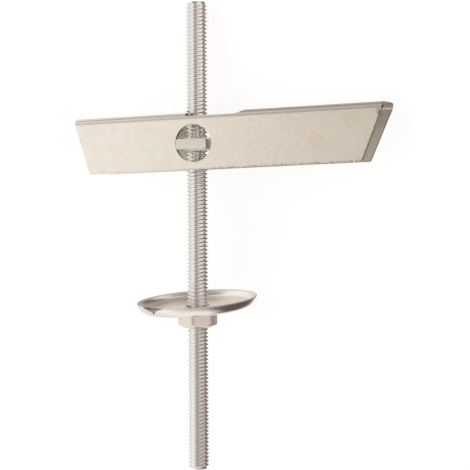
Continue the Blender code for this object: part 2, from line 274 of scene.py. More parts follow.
def finish_piece(name, mesh, material, body, node):
    """Merge, orient and shade a mesh, and let it stand for its CAD node."""
    data = bmesh.new()
    data.from_mesh(mesh)
    bmesh.ops.remove_doubles(data, verts=data.verts, dist=MERGE_DISTANCE)
    bmesh.ops.recalc_face_normals(data, faces=data.faces)
    data.to_mesh(mesh)
    data.free()
    mesh.shade_smooth()
    mesh.set_sharp_from_angle(angle=SMOOTH_ANGLE)
    mesh.materials.append(material)
    piece = bpy.data.objects.new(name, mesh)
    bpy.context.scene.collection.objects.link(piece)
    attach(piece, body)
    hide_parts(node)
    return piece


def ring_faces(rows, columns):
    """Return the quads of a grid whose rows and columns both close on themselves."""
    row = np.arange(rows)[:, None]
    column = np.arange(columns)[None, :]
    next_row = (row + 1) % rows
    next_column = (column + 1) % columns
    quads = np.stack([
        row * columns + column,
        row * columns + next_column,
        next_row * columns + next_column,
        next_row * columns + column,
    ], axis=-1)
    return quads.reshape(-1, 4).tolist()


def node_copy(node):
    """Return a merged copy of a CAD node's mesh, with its flat triangles joined."""
    mesh = frame["nodes"][node].data.copy()
    mesh.materials.clear()
    data = bmesh.new()
    data.from_mesh(mesh)
    bmesh.ops.remove_doubles(data, verts=data.verts, dist=MERGE_DISTANCE)
    bmesh.ops.dissolve_limit(
        data, angle_limit=FLAT_ANGLE, use_dissolve_boundaries=False,
        verts=data.verts, edges=data.edges)
    data.to_mesh(mesh)
    data.free()
    return mesh


def mark_sheet(mesh, settings):
    """Mark the wing's sheared faces and the faces inside its channel as face attributes.

    Across the sheet is the way from the nearer bend's axis: sideways in a cheek, straight up in
    the web and round in a bend. A face is sheared if it looks less than half that way, and inside
    if it looks against it.
    """
    middles = to_upright(mesh_vectors(mesh.polygons, "center"))
    corners = to_upright(mesh_vectors(mesh.vertices, "co"))
    normals = mesh_vectors(mesh.polygons, "normal") @ AXES.T
    web_up = np.array([-math.sin(settings.turn), 0.0, math.cos(settings.turn)])
    half = np.abs(corners[:, 1]).max() - settings.bend_radius
    crown = (corners @ web_up).max() - settings.bend_radius
    aside = np.clip(np.abs(middles[:, 1]) - half, 0.0, None)
    above = np.clip(middles @ web_up - crown, 0.0, None)
    aside = np.where(above <= 0.0, 1.0, aside)
    looks = normals[:, 1] * np.sign(middles[:, 1]) * aside + (normals @ web_up) * above
    looks = looks / np.hypot(aside, above)
    for name, values in (("sheared", np.abs(looks) < 0.5), ("inside", looks < -0.5)):
        layer = mesh.attributes.new(name, "FLOAT", "FACE")
        layer.data.foreach_set("value", values.astype(np.float32))


def round_edges(piece, width):
    """Round a piece's sharp edges with a small bevel."""
    bevel = piece.modifiers.new("edge round", "BEVEL")
    bevel.width = width
    bevel.segments = 3
    bevel.limit_method = "ANGLE"
    bevel.angle_limit = SMOOTH_ANGLE
    bevel.harden_normals = True


def thread_profile(crest, settings):
    """Return the phases and radii of one thread, between 0 and 1 from crest to crest.

    The crest and the root are flat and straight flanks join them. Each edge between them is cut
    off by the same share of the pitch on both sides.
    """
    cut = settings.edge_cut
    flank_start = settings.crest_width / 2.0
    flank_end = 0.5 - settings.root_width / 2.0
    phase = np.array([
        flank_start - cut, flank_start + cut, flank_end - cut, flank_end + cut,
        1.0 - flank_end - cut, 1.0 - flank_end + cut, 1.0 - flank_start - cut,
        1.0 - flank_start + cut])
    distance = np.minimum(phase, 1.0 - phase)
    down = np.clip((distance - flank_start) / (flank_end - flank_start), 0.0, 1.0)
    return phase, crest - settings.depth * down


def thread_surface(low, high, crest, end_radius, settings):
    """Return the points and faces of a threaded rod with chamfered ends.

    The first grid direction runs up the helix, at a height of the pitch times the turns made,
    the second from one crest to the next. Heights are kept between the two ends and the radius
    under a cone of 45 degrees at each end, so the turns that lie past an end fall onto its rim,
    where a fan of triangles closes it.
    """
    steps = settings.turn_steps
    phase, profile = thread_profile(crest, settings)
    rows = len(phase)
    turns = math.ceil((high - low) / settings.pitch) + 1
    step = np.arange((turns + 1) * steps + 1)[:, None]
    row = np.arange(rows)[None, :]
    height = low + settings.pitch * (step / steps - 1.0 + phase)
    height = np.clip(height, low, high)
    cone = end_radius + np.minimum(height - low, high - height)
    radius = np.minimum(profile, cone)
    turn = FULL_TURN * step / steps
    points = np.stack([radius * np.cos(turn), radius * np.sin(turn), height], axis=-1)
    points = points.reshape(-1, 3)

    first = step[:turns * steps] * rows + row
    above = np.where(row + 1 < rows, first + 1, (step[:turns * steps] + steps) * rows)
    faces = np.stack([first, first + rows, above + rows, above], axis=-1).reshape(-1, 4).tolist()
    bottom = len(points)
    top = bottom + 1
    points = np.vstack([points, [[0.0, 0.0, low], [0.0, 0.0, high]]])
    round_once = np.arange(steps) * rows
    last = round_once + turns * steps * rows
    faces += [(bottom, b, a) for a, b in zip(round_once.tolist(), (round_once + rows).tolist())]
    faces += [(top, a, b) for a, b in zip(last.tolist(), (last + rows).tolist())]
    return points, faces


def corner_arc(corner, before, after, radius):
    """Return the points that round a right-angled corner between two unit directions."""
    steps = 4
    bend = np.linspace(0.0, math.pi / 2.0, steps)[:, None]
    centre = corner + radius * (before + after)
    return centre - radius * (np.cos(bend) * after + np.sin(bend) * before)


def washer_profile(hole, radius, height, settings):
    """Return the washer's closed profile as radii and heights.

    From the floor to the lip the height rises with the share of the way out raised to the curl's
    power, by the whole height below and by the height less the sheet above. The lip is level, and
    its edges and those of the hole are rounded.
    """
    wall_steps = 26
    floor_steps = 12
    edge = settings.edge_round
    out = np.linspace(0.0, 1.0, wall_steps)
    rise = out ** settings.curl_power
    curl = radius - settings.floor_radius
    outer = np.stack([settings.floor_radius + curl * out, height * rise], axis=-1)
    inner = np.stack([
        settings.floor_radius + (curl - settings.lip_width) * out,
        settings.sheet + (height - settings.sheet) * rise], axis=-1)
    outwards = np.array([1.0, 0.0])
    upwards = np.array([0.0, 1.0])
    wall = unit(outer[-1] - outer[-2])
    inner_wall = unit(inner[-1] - inner[-2])
    outer_lip = corner_arc(outer[-1], -wall, -outwards, edge)
    inner_lip = corner_arc(inner[-1], outwards, -inner_wall, edge)
    upper_mouth = corner_arc(np.array([hole, settings.sheet]), outwards, -upwards, edge)
    lower_mouth = corner_arc(np.array([hole, 0.0]), upwards, outwards, edge)
    floor_out = np.linspace(hole + edge, settings.floor_radius, floor_steps)[1:-1]
    below = np.stack([floor_out, np.zeros_like(floor_out)], axis=-1)
    above = np.stack([floor_out[::-1], np.full_like(floor_out, settings.sheet)], axis=-1)
    wall_top = height - 1.5 * edge
    outer = outer[outer[:, 1] < wall_top]
    inner = inner[inner[:, 1] < wall_top]
    return np.vstack([
        below, outer, outer_lip, inner_lip, inner[::-1], above, upper_mouth, lower_mouth])


def washer_frame(points):
    """Return the seat's middle and its three directions: right, back and up its axis.

    The axis is the direction in which the washer's own points spread the least.
    """
    spread_out = points - points.mean(axis=0)
    axis = np.linalg.eigh(spread_out.T @ spread_out)[1][:, 0]
    axis = axis * np.sign(axis[2])
    right = unit(np.cross(np.array([0.0, 1.0, 0.0]), axis))
    back = np.cross(axis, right)
    centre = points.mean(axis=0)
    heights = (points - centre) @ axis
    return centre + axis * heights.min(), np.array([right, back, axis])


def nick_share(across, down, settings):
    """Return how deep in the nick a place is: 1 on its middle at the lip, 0 on its outline.

    The outline is a triangle that hangs from the lip, broken up by a slow and a quick sine.
    """
    slow = 0.18 * np.sin(across * 5.1 / MM)
    quick = 0.12 * np.sin((across * 9.7 + down * 7.0) / MM)
    reach = np.abs(across) / settings.nick_width + np.abs(down) / settings.nick_height
    return np.clip(1.0 + (slow + quick) - reach, 0.0, 1.0)


def washer_surface(seat, directions, settings):
    """Return the washer's points and faces: its profile turned about its leaning axis.

    The hole is shifted back from the rod, less and less towards the edge of the flat floor. In
    the nick the outer wall is cut in towards the axis, by the root of the depth in the nick. The
    outer wall starts at a share of the full radius, and the cut is full a little further out.
    """
    wall_start = 0.93
    wall_fade = 0.03
    points = (to_upright(node_points("cup_washer")) - seat) @ directions.T
    reach = np.hypot(points[:, 0], points[:, 1])
    hole = reach.min()
    rim = reach.max()
    height = points[:, 2].max()
    radii, heights = washer_profile(hole, rim, height, settings).T
    turn = (FULL_TURN * np.arange(settings.facets) / settings.facets)[None, :]
    radius = radii[:, None] + np.zeros_like(turn)
    level = heights[:, None] + np.zeros_like(turn)
    nick_turn = 1.5 * math.pi - settings.nick_angle
    from_nick = (turn - nick_turn + math.pi) % FULL_TURN - math.pi
    nick = nick_share(from_nick * rim, height - level, settings)
    outside = np.clip((radius / rim - wall_start) / wall_fade, 0.0, 1.0)
    radius = radius - settings.nick_depth * nick ** 0.5 * outside
    inwards = (settings.floor_radius - radius) / (settings.floor_radius - hole)
    shift = settings.hole_shift * np.clip(inwards, 0.0, 1.0)
    surface = np.stack([radius * np.cos(turn), radius * np.sin(turn) + shift, level], axis=-1)
    surface = surface.reshape(-1, 3) @ directions + seat
    return surface, ring_faces(len(radii), settings.facets)


def nut_flats(points):
    """Return how far out the nut's flats lie and the angle of the first one.

    A flat faces the way in which the nut's points reach the least far out.
    """
    angles = np.radians(np.arange(0.0, 60.0, 0.05))
    reaches = np.array([
        (points[:, 0] * math.cos(way) + points[:, 1] * math.sin(way)).max() for way in angles])
    return reaches.min(), angles[reaches.argmin()]


def nut_surface(settings):
    """Return the nut's points and faces, with the heights and flats of the CAD nut.

    The hexagon's radius at an angle joins its six flats by a high power and is kept under the
    radius that takes its corners off. A cone of the chamfer's slope cuts them at both ends, and
    the profile runs on over both faces and through the hole. Its upper half mirrors the lower.
    """
    points = to_upright(node_points("hex_nut"))
    low = points[:, 2].min()
    high = points[:, 2].max()
    hole = np.hypot(points[:, 0], points[:, 1]).min()
    flat, first_flat = nut_flats(points)
    turn = FULL_TURN * np.arange(settings.facets) / settings.facets
    flats = first_flat + FULL_TURN * np.arange(6) / 6.0
    towards = np.clip(np.cos(turn[:, None] - flats[None, :]), 0.0, None)
    power = settings.corner_sharpness
    side = flat * (towards ** power).sum(axis=1) ** (-1.0 / power)
    side = np.minimum(side, settings.corner_radius)

    edge = settings.edge_round
    ring_fall = 0.2 * edge
    cone_rise = 0.3 * edge
    mouth = settings.mouth
    ring = settings.face_radius
    drop = (side - ring) * math.tan(settings.chamfer)
    lower_half = (
        (hole, mouth),
        (hole + mouth, 0.0),
        (ring - edge, 0.0),
        (ring, ring_fall),
        (side - edge, drop - cone_rise),
        (side, drop + edge),
    )
    rows = [(radius, low + rise) for radius, rise in lower_half]
    rows.append((side, (low + high) / 2.0))
    rows += [(radius, high - rise) for radius, rise in reversed(lower_half)]
    surface = [
        np.stack([
            radius * np.cos(turn), radius * np.sin(turn), np.broadcast_to(level, turn.shape)
        ], axis=-1)
        for radius, level in rows
    ]
    return np.concatenate(surface), ring_faces(len(rows), settings.facets)


# Materials, and the grain that the zinc has on every piece

CLOUD_SIZE = 3.4 * MM
PATCH_SIZE = 0.9 * MM
SPECK_SIZE = 0.34 * MM
GRAIN_SIZE = 0.25 * MM
GRAIN_DEPTH = 0.012 * MM
LINE_SIZE = 0.16 * MM
GLOSS_SIZE = 1.6 * MM
GLOSS_RANGE = (0.88, 1.15)


def add_node(tree, kind, values=None, **attributes):
    """Add a shader node; its inputs are given as values or as sockets to link."""
    item = tree.nodes.new(kind)
    for name, value in attributes.items():
        setattr(item, name, value)
    for socket, value in (values or {}).items():
        if isinstance(value, bpy.types.NodeSocket):
            tree.links.new(value, item.inputs[socket])
        else:
            item.inputs[socket].default_value = value
    return item


def blend(tree, factor, first, second):
    """Return the mix of two colours by a factor.

    The Mix node takes its colours at inputs 6 and 7 and gives the mixed one at output 2.
    """
    values = {0: factor}
    for socket, tone in ((6, first), (7, second)):
        values[socket] = tone if isinstance(tone, bpy.types.NodeSocket) else (*tone, 1.0)
    return add_node(tree, "ShaderNodeMix", values, data_type="RGBA").outputs[2]


def spread(tree, value, low, high, to_low=0.0, to_high=1.0):
    """Return a value moved from one span to another and kept within it, eased at both ends."""
    item = add_node(
        tree, "ShaderNodeMapRange",
        {"Value": value, "From Min": low, "From Max": high, "To Min": to_low, "To Max": to_high},
        interpolation_type="SMOOTHSTEP")
    return item.outputs["Result"]


def ramp(tree, factor, tones):
    """Return a colour ramp over tones given at angles from -180 to 180 degrees."""
    item = add_node(tree, "ShaderNodeValToRGB", {"Fac": factor})
    elements = item.color_ramp.elements
    while len(elements) < len(tones):
        elements.new(1.0)
    for element, (degrees, tone) in zip(elements, tones):
        element.position = (degrees + 180.0) / 360.0
        element.color = (*tone, 1.0)
    return item.outputs["Color"]


def noise(tree, vector, size, detail, roughness=0.55):
    """Return a noise pattern with grains of about the given size in metres.

    Most of it lies between 0.3 and 0.7.
    """
    pattern = add_node(
        tree, "ShaderNodeTexNoise",
        {"Vector": vector, "Scale": 1.0 / size, "Detail": detail, "Roughness": roughness})
    return pattern.outputs["Fac"]


def math_node(tree, operation, *values):
    """Return the result of one step of arithmetic on one, two or three values."""
    item = add_node(tree, "ShaderNodeMath", dict(enumerate(values)), operation=operation)
    return item.outputs["Value"]


def product(tree, first, second):
    """Return two values multiplied."""
    return math_node(tree, "MULTIPLY", first, second)


def vector_node(tree, operation, *values):
    """Add one step of vector arithmetic on one or two vectors."""
    return add_node(tree, "ShaderNodeVectorMath", dict(enumerate(values)), operation=operation)


def along(tree, vector, direction):
    """Return how far out a place lies in a direction, as their scalar product."""
    return vector_node(tree, "DOT_PRODUCT", vector, tuple(direction)).outputs["Value"]


def face_mark(tree, name):
    """Return a mark that the mesh carries on its faces."""
    return add_node(tree, "ShaderNodeAttribute", attribute_name=name).outputs["Fac"]


def near(tree, vector, point, radius):
    """Return 1 at a point, falling to 0 at a distance from it."""
    distance = vector_node(tree, "DISTANCE", vector, point).outputs["Value"]
    return spread(tree, distance, 0.0, radius, 1.0, 0.0)


def upright_place(tree):
    """Return Object coordinates turned into the upright frame."""
    offset = TURN_UPRIGHT @ Vector(ORIGIN)
    placed = add_node(
        tree, "ShaderNodeMapping",
        {"Vector": add_node(tree, "ShaderNodeTexCoord").outputs["Object"],
         "Location": tuple(-offset), "Rotation": tuple(TURN_UPRIGHT.to_euler("XYZ"))})
    return placed.outputs["Vector"]


def stretched(tree, vector, stretch):
    """Return coordinates that are stretched along their axes."""
    placed = add_node(tree, "ShaderNodeMapping", {"Vector": vector, "Scale": stretch})
    return placed.outputs["Vector"]


def mottled(tree, upright, settings):
    """Return the zinc's colour: rosy and olive clouds, duller patches and dark specks.

    Each departs from the tint by shares of the mottle of its own.
    """
    tint = np.array(settings.tint)
    mottle = settings.mottle
    rosy = tint * np.array([1.0 + mottle, 1.0 - 0.3 * mottle, 1.0 - 0.2 * mottle])
    olive = tint * np.array([1.0 - mottle, 1.0 - 0.35 * mottle, 1.0 - 1.2 * mottle])
    dull_and_shade = tint * (1.0 - 1.6 * mottle)
    dark = tint * (1.0 - 4.0 * mottle) * np.array([1.0, 0.98, 0.95])
    clouds = noise(tree, upright, CLOUD_SIZE, 3.0)
    patches = noise(tree, upright, PATCH_SIZE, 4.0)
    specks = noise(tree, upright, SPECK_SIZE, 2.0)
    tone = blend(tree, spread(tree, clouds, 0.35, 0.65), olive, rosy)
    tone = blend(tree, spread(tree, patches, 0.52, 0.74, 0.0, 0.8), tone, dull_and_shade)
    return blend(tree, spread(tree, specks, 0.54, 0.72), tone, dark)


def grained(tree, upright, settings, lines):
    """Return the zinc's normal: fine grain, and over it the lines that a tool has drawn."""
    grain = noise(tree, upright, GRAIN_SIZE, 4.0, 0.6)
    bump = add_node(
        tree, "ShaderNodeBump", {"Height": grain, "Strength": 0.35, "Distance": GRAIN_DEPTH})
    if lines is not None:
        drawn = noise(tree, lines(tree, upright), LINE_SIZE, 2.0, 0.5)
        bump = add_node(
            tree, "ShaderNodeBump",
            {"Height": drawn, "Strength": 0.5, "Distance": settings.line_depth,
             "Normal": bump.outputs["Normal"]})
    return bump.outputs["Normal"]


def zinc(name, settings, marks=None, lines=None):
    """Return a zinc finish: mottled colour, uneven gloss, fine grain and drawn lines, in one metal.

    marks is a function that adds marks of its own: it gets the tree, the upright coordinates, the
    colour and the roughness, and returns the last two with the marks in them. lines is a function
    that gives the coordinates in which the tool's lines run.
    """
    material = bpy.data.materials.new(name)
    material.use_nodes = True
    tree = material.node_tree
    upright = upright_place(tree)
    tone = mottled(tree, upright, settings)
    gloss = noise(tree, upright, GLOSS_SIZE, 4.0)
    least, most = (settings.roughness * part for part in GLOSS_RANGE)
    rough = spread(tree, gloss, 0.3, 0.75, least, most)
    if marks is not None:
        tone, rough = marks(tree, upright, tone, rough)
    shader = tree.nodes["Principled BSDF"]
    shader.inputs["Metallic"].default_value = 1.0
    tree.links.new(tone, shader.inputs["Base Color"])
    tree.links.new(rough, shader.inputs["Roughness"])
    tree.links.new(grained(tree, upright, settings, lines), shader.inputs["Normal"])
    return material


def rolled_lines(tree, upright):
    """Return coordinates for lines that run along the wing."""
    return stretched(tree, upright, (0.06, 1.0, 1.0))


def filed_lines(tree, upright):
    """Return coordinates for lines that run down the nut's flats."""
    return stretched(tree, upright, (1.0, 1.0, 0.08))


def wing_marks(settings):
    """Return the function that adds painted light inside the channel, raw edges, grain and stains.

    The sheared faces get raw steel's tone, darkened in part as painted shade. Raw steel also shows
    as dots along two edges of the front cheek, the lower one and the long arm's slanted end. Each
    is given by its outward direction and by how far out the cheek reaches in it. A stain is given
    by its place along the wing, its height, its radius, its strength and its colour. The grain and
    the dots grow stronger along the long arm. Inside the channel a painted reflection lightens the
    faces low down, and painted shade darkens them higher up.
    """
    grit_size = 0.3 * MM
    grain_size = 0.24 * MM
    dirt_size = 0.5 * MM
    cheek_face = -4.65 * MM
    tan = (0.92, 0.68, 0.46)
    olive = (0.76, 0.74, 0.50)
    pale_olive = (0.78, 0.76, 0.54)
    stains = (
        (36.6 * MM, 5.9 * MM, 1.2 * MM, 1.0, settings.stain),
        (35.7 * MM, 5.3 * MM, 1.3 * MM, 1.0, settings.stain),
        (24.1 * MM, 0.8 * MM, 2.0 * MM, 0.5, tan),
        (30.2 * MM, 3.9 * MM, 2.4 * MM, 0.4, olive),
        (20.9 * MM, 3.9 * MM, 2.4 * MM, 0.25, pale_olive),
    )
    band_start = 0.42 * MM
    band_full = 0.12 * MM
    grain_reach = (-2.0 * MM, 14.0 * MM)
    dots_reach = (-4.0 * MM, 8.0 * MM)
    fewest_dots = 0.2
    inside_shade_heights = (0.5 * MM, 6.5 * MM)
    inside_shade_share = 0.55
    inside_reflection_share = 0.8
    inner_roughness = 0.12
    lean = settings.turn - settings.long_lean
    downwards = np.array([math.sin(settings.turn), 0.0, -math.cos(settings.turn)])
    endwards = np.array([math.cos(lean), 0.0, math.sin(lean)])
    points = to_upright(node_points("toggle_wing"))
    front = points[points[:, 1] < 0.0]

    def add(tree, upright, tone, rough):
        """Mix the marks into the colour, one over the other, and make the inside rougher."""
        place = add_node(tree, "ShaderNodeSeparateXYZ", {"Vector": upright}).outputs
        # Inside the channel: a painted reflection low down, then painted shade that grows with
        # height.
        inside = face_mark(tree, "inside")
        dull_and_shade = spread(tree, place["Z"], *inside_shade_heights, 0.0, inside_shade_share)
        tone = blend(tree, product(tree, inside, inside_reflection_share), tone, settings.inside_painted_reflection)
        tone = blend(tree, product(tree, inside, dull_and_shade), tone, settings.inside_painted_shade)

        grit = noise(tree, stretched(tree, upright, (1.0, 0.4, 1.0)), grit_size, 3.0)
        # The sheared faces get raw steel's tone, darkened in part as painted shade.
        raw_and_shaded_edge = blend(tree, spread(tree, grit, 0.35, 0.65), settings.raw_edge_and_shade, settings.raw_light)
        tone = blend(tree, face_mark(tree, "sheared"), tone, raw_and_shaded_edge)

        grain = spread(tree, noise(tree, upright, grain_size, 2.0), 0.46, 0.66, 0.0, 0.6)
        long_arm = spread(tree, place["X"], *grain_reach)
        tone = blend(tree, product(tree, grain, long_arm), tone, settings.grain)

        dots = spread(tree, grit, 0.42, 0.58, 0.0, 0.8)
        dotted_arm = spread(tree, place["X"], *dots_reach, fewest_dots)
        for direction in (downwards, endwards):
            reach = float((front @ direction).max())
            out = along(tree, upright, direction)
            band = spread(tree, out, reach - band_start, reach - band_full)
            shown = product(tree, product(tree, band, dots), dotted_arm)
            tone = blend(tree, shown, tone, settings.raw_light)

        dirt = noise(tree, upright, dirt_size, 4.0)
        for across, up, radius, strength, colour_of_stain in stains:
            spot = near(tree, upright, (across, cheek_face, up), radius)
            patch = product(tree, spot, spread(tree, dirt, 0.36, 0.56, 0.0, strength))
            tone = blend(tree, patch, tone, colour_of_stain)
        return tone, math_node(tree, "MULTIPLY_ADD", inside, inner_roughness, rough)
    return add


def washer_marks(seat, directions, settings):
    """Return the function that lightens the washer's lip as a painted highlight, roughens it, and
    darkens its nick.

    The nick's outline is the triangle that its cut has, broken up by a noise, and it shows on
    the outer wall only. The lip's top gets a painted highlight and more roughness, less and less
    further down.
    """
    ragged_size = 0.7 * MM
    scratch_size = 0.3 * MM
    lip_highlight_depths = (0.36 * MM, 0.16 * MM)
    wall_depths = (-0.9 * MM, -0.6 * MM)
    raggedness = 1.1
    outline = (1.62, 1.40)
    marked_roughness = 0.34
    right, back, up = directions
    turn = settings.nick_angle
    out = right * -math.sin(turn) - back * math.cos(turn)
    sideways = right * math.cos(turn) - back * math.sin(turn)
    points = (to_upright(node_points("cup_washer")) - seat) @ directions.T
    radius = np.hypot(points[:, 0], points[:, 1]).max()
    lip = seat + out * radius + up * points[:, 2].max()

    def from_lip(tree, upright, direction):
        """Return the distance from the nick's middle at the lip in a direction."""
        return math_node(tree, "SUBTRACT", along(tree, upright, direction), float(lip @ direction))

    def add(tree, upright, tone, rough):
        """Mix the lip's painted highlight and the nick into the colour, and make both rougher."""
        across = math_node(tree, "ABSOLUTE", from_lip(tree, upright, sideways))
        down = from_lip(tree, upright, -up)
        # The lip's top is lightened as a painted highlight, less and less further down; the same
        # mask raises its roughness.
        lip_highlight_and_wear = spread(tree, down, *lip_highlight_depths)
        tone = blend(tree, lip_highlight_and_wear, tone, settings.lip_painted_highlight)

        reach = math_node(
            tree, "ADD", math_node(tree, "DIVIDE", across, settings.nick_width),
            math_node(tree, "DIVIDE", down, settings.nick_height))
        ragged = product(tree, noise(tree, upright, ragged_size, 4.0), raggedness)
        patch = spread(tree, math_node(tree, "ADD", reach, ragged), *outline)
        outside = spread(tree, from_lip(tree, upright, out), *wall_depths)
        patch = product(tree, patch, outside)
        scratched = spread(tree, noise(tree, upright, scratch_size, 2.0), 0.42, 0.62)
        bare = blend(tree, scratched, settings.nick_dark, settings.nick_light)
        tone = blend(tree, patch, tone, bare)
        marked = math_node(tree, "MAXIMUM", patch, lip_highlight_and_wear)
        return tone, math_node(tree, "MULTIPLY_ADD", marked, marked_roughness, rough)
    return add


def turned_lines(seat, directions):
    """Return the function that gives coordinates for rings round the washer's axis.

    The distance from the axis is the length of the cross product with the axis's direction.
    """
    def rings(tree, upright):
        """Put the distance from the washer's axis on the first axis."""
        from_seat = vector_node(tree, "SUBTRACT", upright, tuple(seat)).outputs["Vector"]
        crossed = vector_node(tree, "CROSS_PRODUCT", from_seat, tuple(directions[2]))
        distance = vector_node(tree, "LENGTH", crossed.outputs["Vector"]).outputs["Value"]
        return add_node(tree, "ShaderNodeCombineXYZ", {"X": distance}).outputs["Vector"]
    return rings


# The light tent: what the metal mirrors at angles round the rod, level with it, over and under it

LEVEL_TONES = (
    (-180.0, (0.70, 0.66, 0.63)),
    (-170.0, (0.62, 0.59, 0.56)),
    (-161.0, (0.93, 0.89, 0.86)),
    (-149.0, (1.00, 0.97, 0.94)),
    (-138.0, (0.62, 0.62, 0.60)),
    (-120.0, (0.60, 0.61, 0.59)),
    (-70.0, (0.74, 0.75, 0.73)),
    (-50.0, (0.80, 0.80, 0.775)),
    (-36.0, (0.90, 0.885, 0.87)),
    (-24.0, (0.98, 0.975, 0.96)),
    (-18.0, (0.77, 0.745, 0.70)),
    (-8.0, (0.44, 0.41, 0.35)),
    (3.0, (0.40, 0.375, 0.325)),
    (13.0, (0.50, 0.46, 0.43)),
    (24.0, (0.96, 0.87, 0.86)),
    (60.0, (1.00, 0.87, 0.90)),
    (96.0, (0.98, 0.83, 0.87)),
    (114.0, (0.54, 0.44, 0.47)),
    (131.0, (0.19, 0.15, 0.165)),
    (154.0, (0.22, 0.18, 0.19)),
    (166.0, (0.57, 0.53, 0.50)),
    (174.0, (0.50, 0.46, 0.44)),
    (180.0, (0.70, 0.66, 0.63)),
)
OVERHEAD_TONES = (
    (-180.0, (0.36, 0.33, 0.30)),
    (-156.0, (0.40, 0.37, 0.34)),
    (-143.0, (0.90, 0.88, 0.85)),
    (-95.0, (1.00, 0.99, 0.96)),
    (-70.0, (0.94, 0.92, 0.89)),
    (-42.0, (0.80, 0.77, 0.74)),
    (-31.0, (0.60, 0.56, 0.53)),
    (-26.0, (0.52, 0.48, 0.45)),
    (-21.0, (0.39, 0.355, 0.33)),
    (-15.0, (0.34, 0.305, 0.285)),
    (10.0, (0.24, 0.22, 0.205)),
    (40.0, (0.50, 0.46, 0.44)),
    (70.0, (0.86, 0.82, 0.78)),
    (131.0, (0.82, 0.78, 0.74)),
    (143.0, (0.26, 0.23, 0.19)),
    (158.0, (0.17, 0.15, 0.12)),
    (170.0, (0.21, 0.19, 0.16)),
    (180.0, (0.36, 0.33, 0.30)),
)
UNDER_TONES = (
    (-180.0, (0.90, 0.88, 0.86)),
    (-150.0, (0.82, 0.80, 0.78)),
    (-100.0, (0.82, 0.80, 0.78)),
    (-80.0, (0.97, 0.96, 0.93)),
    (-60.0, (1.00, 0.98, 0.94)),
    (-15.0, (0.62, 0.58, 0.53)),
    (0.0, (0.36, 0.33, 0.29)),
    (14.0, (0.36, 0.325, 0.29)),
    (30.0, (0.36, 0.36, 0.35)),
    (60.0, (0.30, 0.30, 0.29)),
    (82.0, (0.12, 0.085, 0.08)),
    (163.0, (0.12, 0.09, 0.085)),
    (173.0, (0.42, 0.385, 0.36)),
    (180.0, (0.90, 0.88, 0.86)),
)
ZENITH_TONES = (
    (-180.0, (0.30, 0.27, 0.25)),
    (-15.0, (0.33, 0.30, 0.28)),
    (20.0, (0.40, 0.37, 0.35)),
    (98.0, (0.40, 0.37, 0.35)),
    (122.0, (0.76, 0.70, 0.69)),
    (160.0, (0.76, 0.70, 0.69)),
    (180.0, (0.30, 0.27, 0.25)),
)
FLOOR_TONE = (0.92, 0.90, 0.89)

# The sine of a ray's angle above level, from where each of these starts to where it is full

OVERHEAD_SPAN = (0.14, 0.46)
ZENITH_SPAN = (0.83, 0.91)
UNDER_SPAN = (-0.02, -0.20)
FLOOR_SPAN = (-0.84, -0.965)


# Operators, one for each piece

class ANCHOR_OT_threaded_rod(bpy.types.Operator):
    """Build the rod with its rolled thread"""

    bl_idname = "anchor.threaded_rod"
    bl_label = "Threaded Rod"

    def execute(self, context):
        """Measure the CAD rod and wind the thread between its ends."""
        settings = context.scene.anchor_rod
        points = to_upright(node_points("threaded_rod"))
        reach = np.hypot(points[:, 0], points[:, 1])
        low = points[:, 2].min()
        high = points[:, 2].max()
        on_end = 0.01 * MM
        ends = reach[np.abs(points[:, 2] - low) < on_end]
        surface, faces = thread_surface(low, high, reach.max(), ends.max(), settings)
        material = zinc("rod_zinc", settings)
        make_piece("rod_thread", surface, faces, material, "rod", "threaded_rod")
        return {"FINISHED"}


class ANCHOR_OT_pivot_bar(bpy.types.Operator):
    """Build the pivot bar with rounded edges"""

    bl_idname = "anchor.pivot_bar"
    bl_label = "Pivot Bar"

    def execute(self, context):
        """Copy the CAD bar and round its edges."""
        settings = context.scene.anchor_bar
        material = zinc("bar_zinc", settings)
        piece = finish_piece(
            "bar_body", node_copy("pivot_bar"), material, "bar", "pivot_bar")
        round_edges(piece, settings.edge_round)
        return {"FINISHED"}


class ANCHOR_OT_toggle_wing(bpy.types.Operator):
    """Build the folded wing with rounded sheared edges"""

    bl_idname = "anchor.toggle_wing"
    bl_label = "Toggle Wing"

    def execute(self, context):
        """Copy the CAD wing and round its edges."""
        settings = context.scene.anchor_wing
        material = zinc("wing_zinc", settings, wing_marks(settings), rolled_lines)
        piece = finish_piece(
            "wing_sheet", node_copy("toggle_wing"), material, "wing", "toggle_wing")
        mark_sheet(piece.data, settings)
        round_edges(piece, settings.edge_round)
        return {"FINISHED"}


class ANCHOR_OT_cup_washer(bpy.types.Operator):
    """Build the dished washer with its turned rim and its nick"""

    bl_idname = "anchor.cup_washer"
    bl_label = "Cup Washer"

    def execute(self, context):
        """Turn the washer's profile about the CAD washer's axis."""
        settings = context.scene.anchor_washer
        seat, directions = washer_frame(to_upright(node_points("cup_washer")))
        surface, faces = washer_surface(seat, directions, settings)
        marks = washer_marks(seat, directions, settings)
        material = zinc("washer_zinc", settings, marks, turned_lines(seat, directions))
        make_piece(
            "washer_dish", surface, faces, material, "washer", "cup_washer")
        return {"FINISHED"}


class ANCHOR_OT_hex_nut(bpy.types.Operator):
    """Build the nut with its turned corners"""

    bl_idname = "anchor.hex_nut"
    bl_label = "Hex Nut"

    def execute(self, context):
        """Measure the CAD nut and work its surface out."""
        settings = context.scene.anchor_nut
        surface, faces = nut_surface(settings)
        material = zinc("nut_zinc", settings, lines=filed_lines)
        make_piece("nut_body", surface, faces, material, "nut", "hex_nut")
        return {"FINISHED"}


class ANCHOR_OT_studio(bpy.types.Operator):
    """Build the floor, the light and the camera"""

    bl_idname = "anchor.studio"
    bl_label = "Studio"

    def execute(self, context):
        """Set the stage round the anchor."""
        settings = context.scene.anchor_studio
        make_floor()
        make_surroundings(context.scene)
        context.scene.camera = make_camera(settings)
        context.scene.view_settings.view_transform = "Standard"
        return {"FINISHED"}


# The stage

